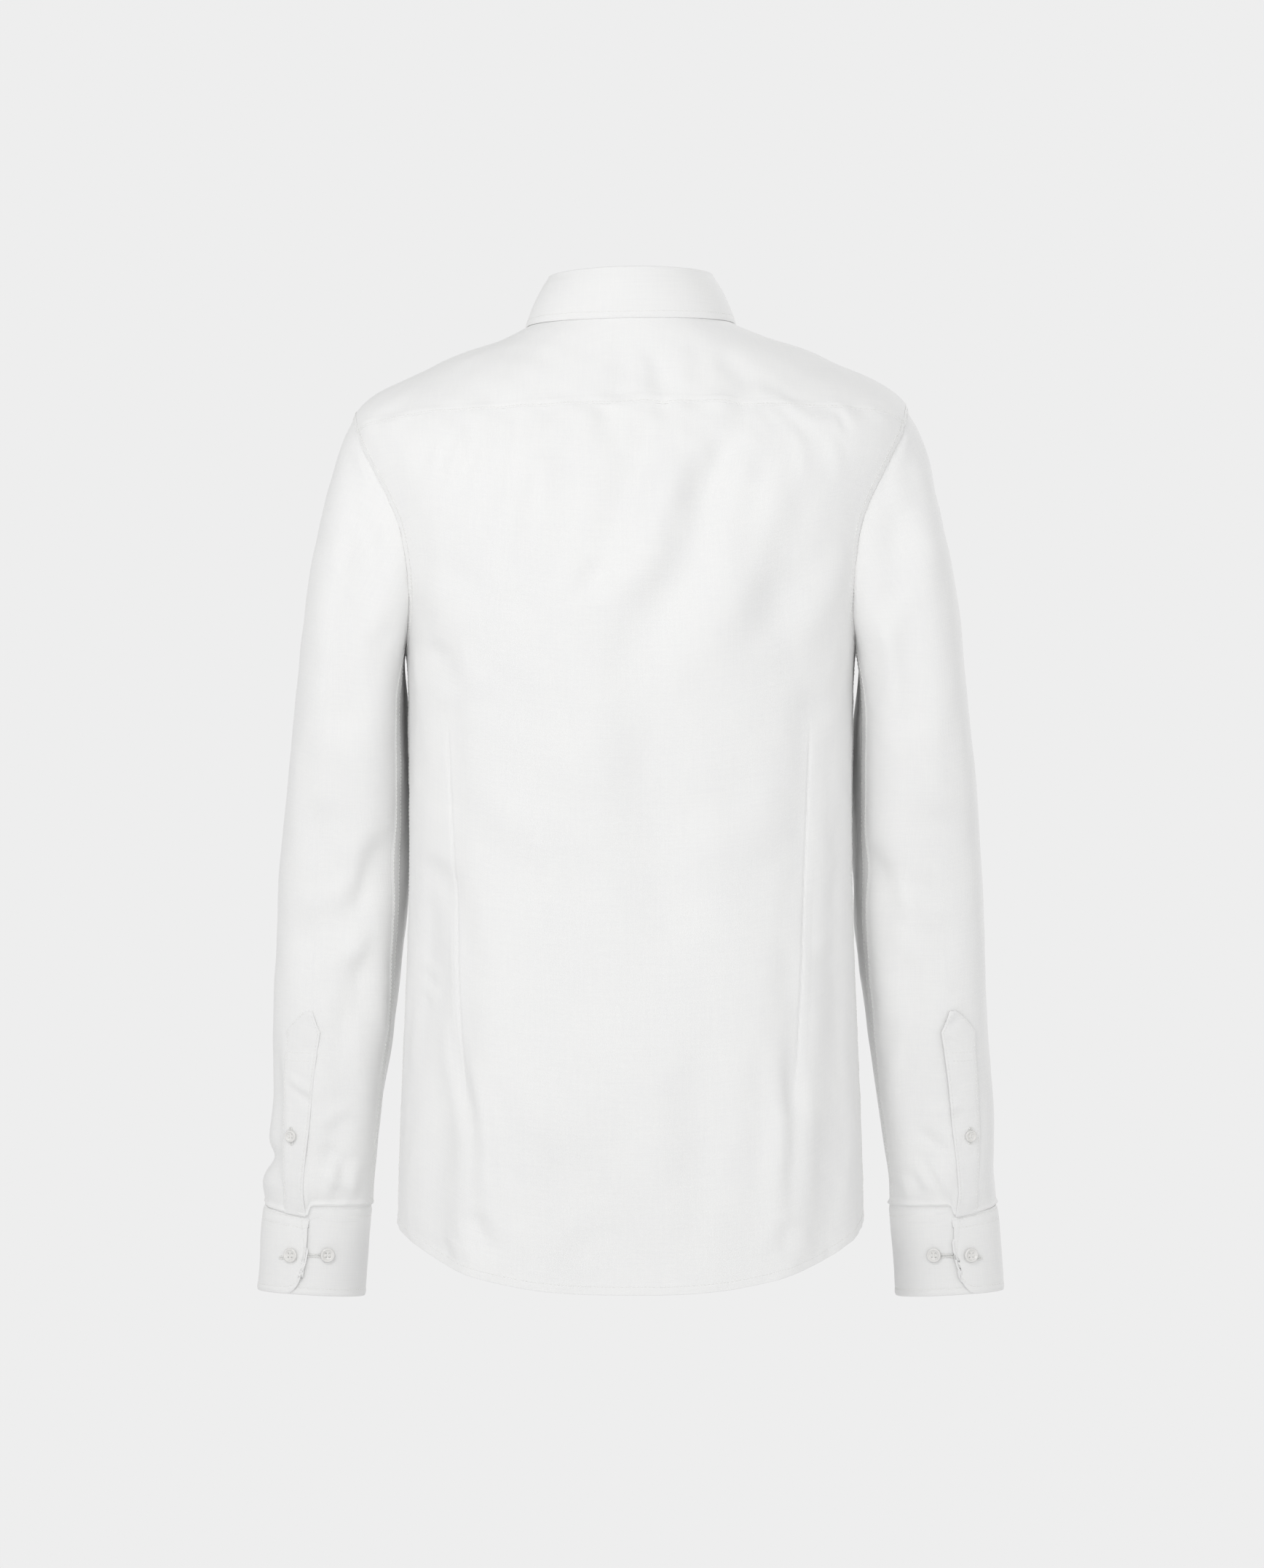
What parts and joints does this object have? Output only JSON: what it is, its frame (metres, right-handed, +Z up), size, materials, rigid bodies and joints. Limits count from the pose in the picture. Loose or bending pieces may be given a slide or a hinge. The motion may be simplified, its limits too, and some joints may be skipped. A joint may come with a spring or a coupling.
{
  "type": "long sleeve dress shirt",
  "caption": "White long sleeve dress shirt, filled out as worn with nobody in it: pointed collar, darted back, yoke, buttoned front, gauntlet plackets and barrel cuffs.",
  "frame": {"origin": "middle of the neck's base, on the line of the wearer's shoulders, where they hold the shirt up", "axes": "+Z up; the front faces -Y and the back +Y; +X towards the wearer's left"},
  "size_m": [0.5802, 0.2515, 0.791],
  "materials": {
    "shirting": "plain white cotton shirting, matt with a faint sheen",
    "fused_shirting": "the same white cotton over a fused interlining, smoother and firmer",
    "button": "moulded polyester resin, pearly white, polished"
  },
  "bodies": {
    "root": {"back": "shirting", "yoke": "shirting", "front_left": "shirting", "front_right": "shirting", "sleeve_left": "shirting", "sleeve_right": "shirting", "cuff_left": "fused_shirting", "cuff_right": "fused_shirting", "placket_left": "fused_shirting", "placket_right": "fused_shirting", "collar_stand": "fused_shirting", "collar_leaf": "fused_shirting", "collar_button": "button", "front_button_1": "button", "front_button_2": "button", "front_button_3": "button", "front_button_4": "button", "front_button_5": "button", "front_button_6": "button", "front_button_7": "button", "cuff_button_left_1": "button", "cuff_button_left_2": "button", "placket_button_left": "button", "cuff_button_right_1": "button", "cuff_button_right_2": "button", "placket_button_right": "button"}
  },
  "joints": []
}
